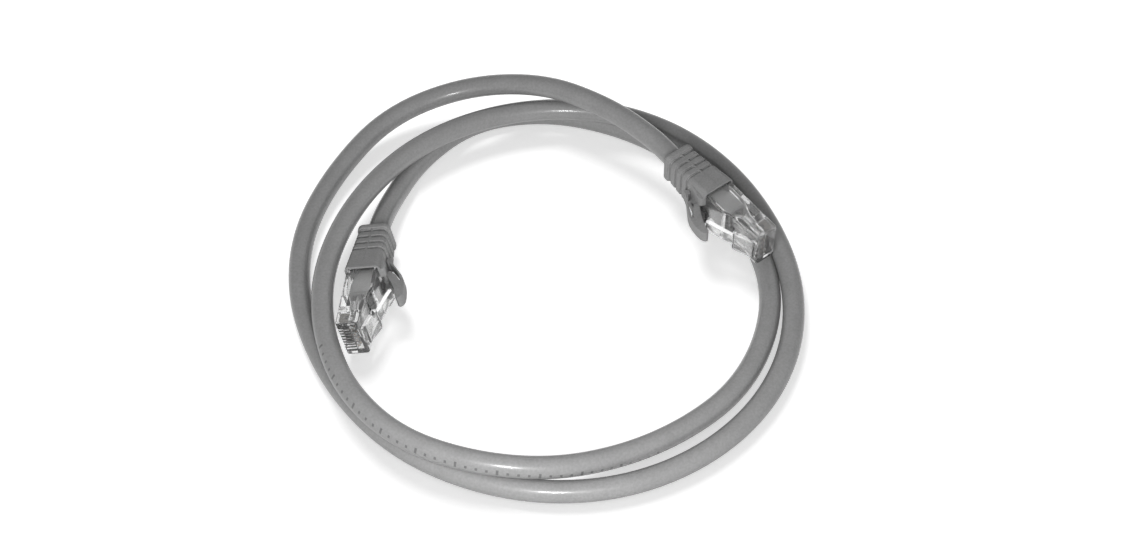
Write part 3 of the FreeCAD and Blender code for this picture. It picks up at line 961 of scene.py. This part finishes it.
def smooth(piece: Piece, angle: float) -> None:
    """Shades a piece smooth round its edges and flat on its broad faces.

    Args:
        piece: the piece.
        angle: the sharpest turn, in degrees, that is shaded smooth.
    """
    hold(piece)
    bpy.ops.object.shade_smooth_by_angle(angle=math.radians(angle))
    even = piece.modifiers.new("even", "WEIGHTED_NORMAL")
    even.keep_sharp = True
    bpy.ops.object.modifier_apply(modifier="even")


def fit(piece: Piece, name: str, place: Matrix) -> Piece:
    """Copies a piece, with its own mesh, into a plug's place.

    Args:
        piece: the piece in its plug's frame, in millimetres.
        name: the copy's name.
        place: the plug's place, from millimetres to metres.

    Returns:
        The copy.
    """
    made = hang(name, piece.data.copy())
    made.data.transform(place)
    made.data.update()
    return made


@dataclass
class Housing:
    """The clear housing that the wires fan out in."""

    width: float = 11.68
    length: float = 21.5
    contact_side: float = 4.1
    nose_top: float = 2.15
    rear_top: float = 4.1
    slope_start: float = 9.6
    slope_end: float = 12.6
    nose_chamfer: float = 0.45
    edge: float = 0.35
    rail: Outline = ((-0.5, 0.6), (-0.5, 1.75), (-1.0, 2.0), (-18.9, 4.02), (-18.9, 2.0))
    rail_inner: float = 4.0
    rail_edge: float = 0.5
    root_front: float = 0.3
    root_depth: float = 0.3
    root_height: float = 0.6
    seat_radius: float = 0.6
    seat_past: float = 0.5
    hollow: Outline = (
        (-1.4, 0.9), (-5.3, 0.9), (-5.3, 1.3), (-7.6, 1.35), (-11.8, 3.15), (-22.0, 3.15),
        (-22.0, -3.15), (-12.4, -3.15), (-7.6, -1.35), (-5.3, -1.3), (-5.3, -0.9), (-1.4, -0.9),
    )
    hollow_half: float = 4.7
    hollow_edge: float = 0.25
    opening_past: float = 0.3
    window: Pair = (-18.8, -14.6)
    window_top: float = -3.05
    window_half: float = 2.7
    relief: Pair = (-11.0, -7.1)
    relief_depth: float = 1.6
    relief_half: float = 3.5
    slot: Pair = (-5.0, 0.2)
    slot_top: float = -0.8
    slot_half: float = 0.25

    def build(self) -> Piece:
        """Models the housing with its rails, hollow, slots and windows.

        Returns:
            The housing in its plug's frame, in millimetres.
        """
        low = -self.contact_side
        cut = self.nose_chamfer
        piece = outline("housing", [
            (0.0, low + cut), (0.0, self.nose_top - cut), (-cut, self.nose_top),
            (-self.slope_start, self.nose_top), (-self.slope_end, self.rear_top),
            (-self.length, self.rear_top), (-self.length, low), (-cut, low),
        ], self.width / 2)
        soften(piece, self.edge, segments=3)
        half = (self.width / 2 - self.rail_inner) / 2
        for side in (-1, 1):
            rail = outline("rail", self.rail, half, side * (self.rail_inner + half))
            soften(rail, self.rail_edge, segments=4)
            join(piece, rail, Joining.MELT)
        x, y = LATCH_PIVOT
        half = LATCH_BASE / 2
        first = (x, self.nose_top - self.root_depth, -half)
        last = (-self.root_front, self.nose_top + self.root_height, half)
        join(piece, block("root", first, last), Joining.MELT)
        half += self.seat_past
        join(piece, rod("seat", (x, y, -half), (x, y, half), self.seat_radius))
        hollow = outline("hollow", self.hollow, self.hollow_half)
        soften(hollow, self.hollow_edge)
        join(piece, hollow)
        openings = [
            (self.window, self.window_top, 0.0, self.window_half),
            (self.relief, low + self.relief_depth, 0.0, self.relief_half),
            *((self.slot, self.slot_top, column(pin), self.slot_half) for pin in range(CONTACTS)),
        ]
        outside = low - self.opening_past
        for (rear, front), top, middle, half in openings:
            first, last = (rear, outside, middle - half), (front, top, middle + half)
            join(piece, block("opening", first, last))
        smooth(piece, angle=30)
        return piece


@dataclass
class Latch:
    """The clear latch lever, with its two shoulders and its root in the nose."""

    root_radius: float = 0.5
    lever_width: float = 3.25
    lever_end: float = 15.2
    lever_top: float = 7.75
    tip_run: float = 0.6
    tip_drop: float = 0.45
    tip_slant: float = 0.3
    thickness: float = 1.2
    shoulder_front: float = 5.6
    shoulder_rear: float = 6.8
    shoulder_top: float = 5.15
    edge: float = 0.16

    def build(self) -> Piece:
        """Models the latch.

        Returns:
            The latch in its plug's frame, in millimetres.
        """
        x, y = LATCH_PIVOT
        radius = self.root_radius
        half = LATCH_BASE / 2
        over, under = (x, y + radius), (x, y - radius)
        piece = outline("latch", [
            over, (-self.lever_end + self.tip_run, self.lever_top),
            (-self.lever_end, self.lever_top - self.tip_drop),
            (-self.lever_end + self.tip_slant, self.lever_top - self.thickness), under,
        ], self.lever_width / 2)
        base = outline("base", [
            over, (-self.shoulder_front, self.shoulder_top),
            (-self.shoulder_rear, self.shoulder_top),
            (-self.shoulder_rear, self.shoulder_top - self.thickness), under,
        ], half)
        join(piece, base, Joining.MELT)
        root = rod("root", (x, y, -half), (x, y, half), radius, sides=24)
        join(piece, root, Joining.MELT)
        soften(piece, self.edge)
        smooth(piece, angle=50)
        return piece


@dataclass
class Boot:
    """The moulded boot, with its flexing grooves, seam, collar and lips."""

    front: float = 19.2
    neck: float = 35.4
    front_half: Pair = (4.9, 6.6)
    neck_half: Pair = (4.15, 4.55)
    long_edge: float = 5.0
    corner: float = 1.6
    collar_rear: float = 37.2
    collar_half: Pair = (4.45, 4.85)
    collar_edge: float = 0.8
    edge: float = 0.14
    bore: float = 3.0
    grooves: int = 4
    groove_first: float = 34.5
    groove_pitch: float = 2.5
    groove_width: float = 0.9
    groove_depth: float = 0.6
    seam_half: float = 0.3
    seam_ridge: float = 0.12
    seam_height: float = 0.08
    seam_facing: float = 0.98
    lip: Outline = (
        (-26.8, 3.7), (-26.3, 4.25), (-23.0, 5.35), (-20.6, 6.0), (-19.5, 5.9), (-19.2, 5.2),
        (-19.2, 3.7),
    )
    lip_span: Pair = (2.15, 5.0)
    lip_edge: float = 0.5
    front_past: float = 0.5
    socket_rear: float = 22.1
    socket_half: Pair = (4.2, 5.94)
    socket_edge: float = 0.45
    notch_rear: float = 21.4
    notch_span: Pair = (3.8, 6.5)
    notch_half: float = 2.15
    seat_half: float = 2.0
    seat_radius: float = 0.9

    def build(self) -> Piece:
        """Models the boot.

        Returns:
            The boot in its plug's frame, in millimetres.
        """
        piece = self.shell()
        self.ridge(piece)
        near, far = self.lip_span
        half = (far - near) / 2
        for side in (-1, 1):
            lip = outline("lip", self.lip, half, side * (near + half))
            soften(lip, self.lip_edge, segments=3)
            join(piece, lip, Joining.MELT)
        start, end = (-self.collar_rear - 1, 0, 0), (-self.front + 1, 0, 0)
        join(piece, rod("bore", start, end, self.bore, sides=48))
        front = -self.front + self.front_past
        high, wide = self.socket_half
        socket = block("socket", (-self.socket_rear, -high, -wide), (front, high, wide))
        soften(socket, self.socket_edge, segments=3)
        join(piece, socket)
        low, high = self.notch_span
        half = self.notch_half
        join(piece, block("notch", (-self.notch_rear, low, -half), (front, high, half)))
        x, y = GUARD_PIVOT
        half = self.seat_half
        join(piece, rod("seat", (x, y, -half), (x, y, half), self.seat_radius, sides=24))
        smooth(piece, angle=50)
        return piece

    def shell(self) -> Piece:
        """Models the outside: a body that tapers to its neck, a collar and the grooves.

        Returns:
            The solid shell, with its edges rounded.
        """
        high, wide = self.front_half
        neck_high, neck_wide = self.neck_half
        piece = block("boot", (-self.neck, -high, -wide), (-self.front, high, wide))
        bpy.ops.object.mode_set(mode="EDIT")
        pick(piece, Element.FACE, lambda middle, normal: normal.x < -FACING)
        self.resize(neck_high / high, neck_wide / wide)
        pick(piece, Element.EDGE, lambda middle, way: abs(way.x) > self.long_edge)
        bpy.ops.mesh.bevel(offset=self.corner, segments=6, affect="EDGES")
        pick(piece, Element.FACE, lambda middle, normal: normal.x < -FACING)
        bpy.ops.mesh.extrude_region_move(TRANSFORM_OT_translate={"value": (0, 0, 0)})
        self.resize(self.collar_half[0] / neck_high, self.collar_half[1] / neck_wide)
        collar = self.collar_rear - self.neck
        bpy.ops.mesh.extrude_region_move(TRANSFORM_OT_translate={"value": (-collar, 0, 0)})
        rear = -self.collar_rear + LEEWAY
        pick(piece, Element.FACE, lambda middle, normal: middle.x < rear)
        bpy.ops.mesh.bevel(offset=self.collar_edge, segments=4, affect="EDGES")
        self.groove(piece)
        bpy.ops.object.mode_set(mode="OBJECT")
        soften(piece, self.edge, angle=40.0)
        return piece

    def resize(self, high: float, wide: float) -> None:
        """Scales the picked end of the neck about its middle."""
        bpy.ops.transform.resize(value=(1, high, wide), center_override=(-self.neck, 0, 0))

    def groove(self, piece: Piece) -> None:
        """Sinks the flexing grooves, broken at the seam.

        Args:
            piece: the boot, in edit mode.
        """
        half = self.groove_width / 2
        places = [self.groove_pitch * row - self.groove_first for row in range(self.grooves)]
        for place in places:
            split((place - half, 0, 0), (1, 0, 0))
            split((place + half, 0, 0), (1, 0, 0))
        for reach in (self.seam_half, self.seam_ridge):
            split((0, reach, 0), (0, 1, 0))
            split((0, -reach, 0), (0, 1, 0))
        swell(piece, -self.groove_depth, lambda middle, normal: (
            abs(normal.x) < FACING and abs(middle.y) > self.seam_half
            and any(abs(middle.x - place) < LEEWAY for place in places)
        ))

    def ridge(self, piece: Piece) -> None:
        """Raises the seam's ridge along both sides.

        Args:
            piece: the grooved boot.
        """
        hold(piece)
        bpy.ops.object.mode_set(mode="EDIT")
        swell(piece, self.seam_height, lambda middle, normal: (
            abs(normal.z) > self.seam_facing
            and abs(middle.y) < self.seam_ridge and middle.x > -self.neck
        ))
        bpy.ops.object.mode_set(mode="OBJECT")


@dataclass
class Guard:
    """The sprung guard over the latch's free end, a broad tongue with a thin strap behind it.

    Its outline is given from its pivot: out along the tongue, back below it, and round the slit.
    """

    outline: Outline = (
        (0.0, 0.8), (1.6, 1.5), (5.6, 4.2), (7.2, 5.0), (9.2, 5.45), (11.2, 5.65), (12.7, 5.6),
        (13.6, 5.25), (14.1, 4.7), (14.1, 4.15), (13.6, 3.7), (12.4, 3.35), (10.6, 2.9),
        (8.4, 1.9), (6.5, 0.75), (5.6, 0.2), (4.7, 0.0), (4.4, 1.25), (5.6, 2.7), (7.7, 4.05),
        (7.6, 4.4), (4.4, 2.85), (2.4, 1.45), (0.6, 0.0), (0.0, -0.2),
    )
    half_width: float = 1.8
    root_radius: float = 0.8
    edge: float = 0.3

    def build(self) -> Piece:
        """Models the guard.

        Returns:
            The guard in its plug's frame, in millimetres.
        """
        x, y = GUARD_PIVOT
        half = self.half_width
        piece = outline("guard", [(x + dx, y + dy) for dx, dy in self.outline], half)
        root = rod("root", (x, y, -half), (x, y, half), self.root_radius, sides=24)
        join(piece, root, Joining.MELT)
        soften(piece, self.edge, segments=3)
        smooth(piece, angle=50)
        return piece


class PlugKit:
    """The plug's four moulded pieces, modelled once and copied to each end."""

    def build(self, looks: Looks) -> None:
        """Models the pieces and fits a set to each end.

        Args:
            looks: the materials by finish.
        """
        masters = (
            (Housing(), "housing", "cord", "clear_plastic", CLEAR_PC),
            (Latch(), "latch", "latch_{}", "clear_plastic", CLEAR_PC),
            (Boot(), "boot", "cord", "boot_pvc", BOOT_PVC),
            (Guard(), "latch_guard", "guard_{}", "boot_pvc", BOOT_PVC),
        )
        for model, kind, rider, slot, finish in masters:
            master = model.build()
            for end, place in PLUGS.items():
                piece = fit(master, f"{kind}_{end}", place.matrix())
                dress(piece, looks[finish], rider.format(end), f"plug_{end}_{kind}")
            bpy.data.objects.remove(master)


@dataclass(frozen=True)
class Lamp:
    """A soft round lamp that points at the middle of the table, in metres and watts."""

    name: str
    place: Triple
    size: float
    power: float
    job: Job

    def build(self, floor: Piece) -> None:
        """Hangs the lamp.

        Args:
            floor: the floor, which the lamp lights alone or leaves out.
        """
        data = bpy.data.lights.new(self.name, "AREA")
        data.shape = "DISK"
        data.size = self.size
        data.energy = self.power
        lamp = hang(self.name, data)
        aim(lamp, Vector(self.place), -Vector(self.place))
        lamp.visible_camera = False
        lamp.visible_transmission = False
        lamp.visible_diffuse = self.job is not Job.GLINT
        lamp.visible_glossy = self.job is Job.GLINT
        listed = bpy.data.collections.new(self.name + "_lights")
        listed.objects.link(floor)
        if self.job is not Job.FLOOR:
            listed.collection_objects[0].light_linking.link_state = "EXCLUDE"
        lamp.light_linking.receiver_collection = listed


@dataclass
class Studio:
    """Plain pale floor, soft light and a white background."""

    floor_size: float = 8.0
    floor_drop: float = 0.0001
    floor_colour: float = 0.9
    floor_glow: float = 0.58
    sky: float = 0.25
    lamps: tuple[Lamp, ...] = (
        Lamp("key", (-0.16, 0.34, 0.6), 0.3, 2.35, Job.FLOOR),
        Lamp("front", (-0.01, -0.21, 0.15), 0.16, 0.74, Job.TONE),
        Lamp("glint", (-0.01, -0.2, 0.138), 0.035, 0.22, Job.GLINT),
    )

    def seen(self, wiring: Wiring) -> Socket:
        """Adds nodes that tell rays that show the backdrop from rays that light the object.

        Args:
            wiring: the material's or world's node tree.

        Returns:
            A socket that is 1 for a ray that shows the backdrop.
        """
        path = wiring.add("LightPath", {}).outputs
        first = wiring.maths("MAXIMUM", path["Is Camera Ray"], path["Is Glossy Ray"])
        return wiring.maths("MAXIMUM", first, path["Is Transmission Ray"])

    def floor(self) -> Piece:
        """Makes the floor.

        Returns:
            The floor.
        """
        bpy.ops.mesh.primitive_plane_add(size=self.floor_size, location=(0, 0, -self.floor_drop))
        floor = bpy.context.object
        floor.name = "floor"
        white = bpy.data.materials.new("floor_white")
        white.use_nodes = True
        wiring = Wiring(white.node_tree)
        wiring.fill(white.node_tree.nodes["Principled BSDF"], {
            "Base Color": (*(self.floor_colour,) * 3, 1), "Roughness": 0.9,
            "Specular IOR Level": 0.1, "Emission Color": WHITE,
            "Emission Strength": wiring.maths("MULTIPLY", self.seen(wiring), self.floor_glow),
        })
        floor.data.materials.append(white)
        return floor

    def build(self) -> None:
        """Makes the floor, the world and the lamps."""
        floor = self.floor()
        world = bpy.data.worlds.new("studio")
        bpy.context.scene.world = world
        world.use_nodes = True
        wiring = Wiring(world.node_tree)
        level = wiring.add("MapRange", {
            "Value": self.seen(wiring), "To Min": self.sky, "To Max": 1.0,
        })
        wiring.fill(world.node_tree.nodes["Background"], {
            "Color": WHITE, "Strength": level.outputs["Result"],
        })
        for lamp in self.lamps:
            lamp.build(floor)


def dress_nodes(nodes: dict[str, Piece], looks: Looks) -> None:
    """Gives the CAD nodes that stay, contacts, load bars and clamps, their finish.

    Args:
        nodes: the CAD nodes by name.
        looks: the materials by finish.
    """
    for name, node in nodes.items():
        # The contacts take the gold that is darkened with painted shade
        finish = CONTACT_GOLD_PAINTED_SHADE if "contact" in name else CLEAR_PC
        node.data.materials.clear()
        node.data.materials.append(looks[finish])


def main() -> None:
    """Builds the scene."""
    logging.basicConfig(level=logging.INFO, format="%(message)s")
    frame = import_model()
    bpy.context.scene.view_settings.view_transform = "Standard"
    Camera().build()
    looks = {finish: finish.build() for finish in FINISHES}
    dress_nodes(frame["nodes"], looks)
    Cord().build(looks)
    PlugKit().build(looks)
    Studio().build()


if __name__ == "__main__":
    main()
